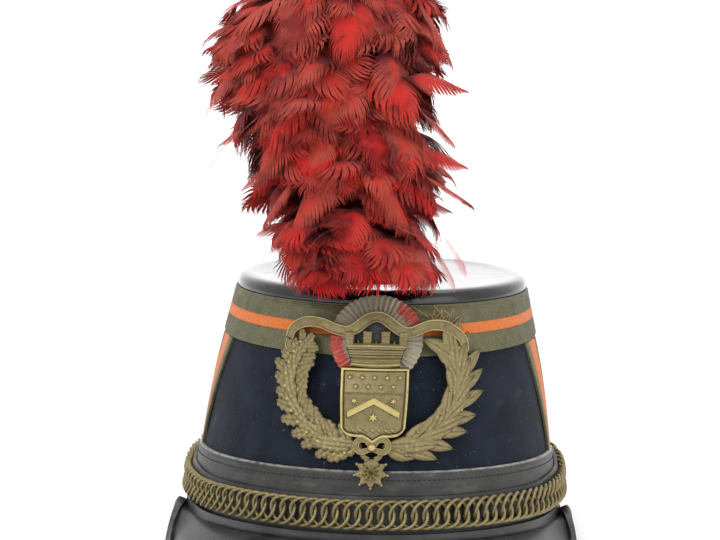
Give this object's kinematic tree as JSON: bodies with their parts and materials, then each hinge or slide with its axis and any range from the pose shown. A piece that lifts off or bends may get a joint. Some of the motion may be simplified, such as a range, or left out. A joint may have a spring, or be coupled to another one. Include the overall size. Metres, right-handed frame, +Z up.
{
  "type": "shako hat",
  "caption": "Stiff parade shako with a leather visor, a metal lace galloon, a stowed chin chain, a stamped brass plate, a cockade and a red feather plume.",
  "frame": {"origin": "middle of the bounding box at the surface that the hat stands on", "axes": "+Z up, the visor points to -Y, +X is to the right as seen from the front"},
  "size_m": [0.1864, 0.2584, 0.2935],
  "materials": {
    "cloth": "dark navy wool cloth, matt, with lint and light scuffs",
    "patent_leather": "glossy black patent leather",
    "worn_leather": "worn black leather, grey on its edges",
    "visor_leather": "polished black leather",
    "metal_lace": "tarnished silver lace, woven",
    "orange_stripe": "ribbed orange silk",
    "old_brass": "antique stamped brass, darkened in its hollows",
    "cockade_pleats": "pleated cloth in rings of red, silver and blue grey",
    "red_feather": "soft red feathers with a dusty surface"
  },
  "bodies": {
    "root": {"shell": "cloth", "crown_top": "patent_leather", "lace_upper": "metal_lace", "lace_stripe": "orange_stripe", "lace_lower": "metal_lace", "leather_band": "worn_leather", "visor": "visor_leather", "visor_binding": "visor_leather", "chin_strap": "worn_leather", "chin_chain": "old_brass", "strap_stud_left": "old_brass", "strap_stud_right": "old_brass", "cockade": "cockade_pleats", "cap_plate": "old_brass", "plume": "red_feather", "chevron_left_front_border": "metal_lace", "chevron_left_front_stripe": "orange_stripe", "chevron_left_rear_border": "metal_lace", "chevron_left_rear_stripe": "orange_stripe", "chevron_left_inner_border": "metal_lace", "chevron_right_front_border": "metal_lace", "chevron_right_front_stripe": "orange_stripe", "chevron_right_rear_border": "metal_lace", "chevron_right_rear_stripe": "orange_stripe", "chevron_right_inner_border": "metal_lace"}
  },
  "joints": []
}
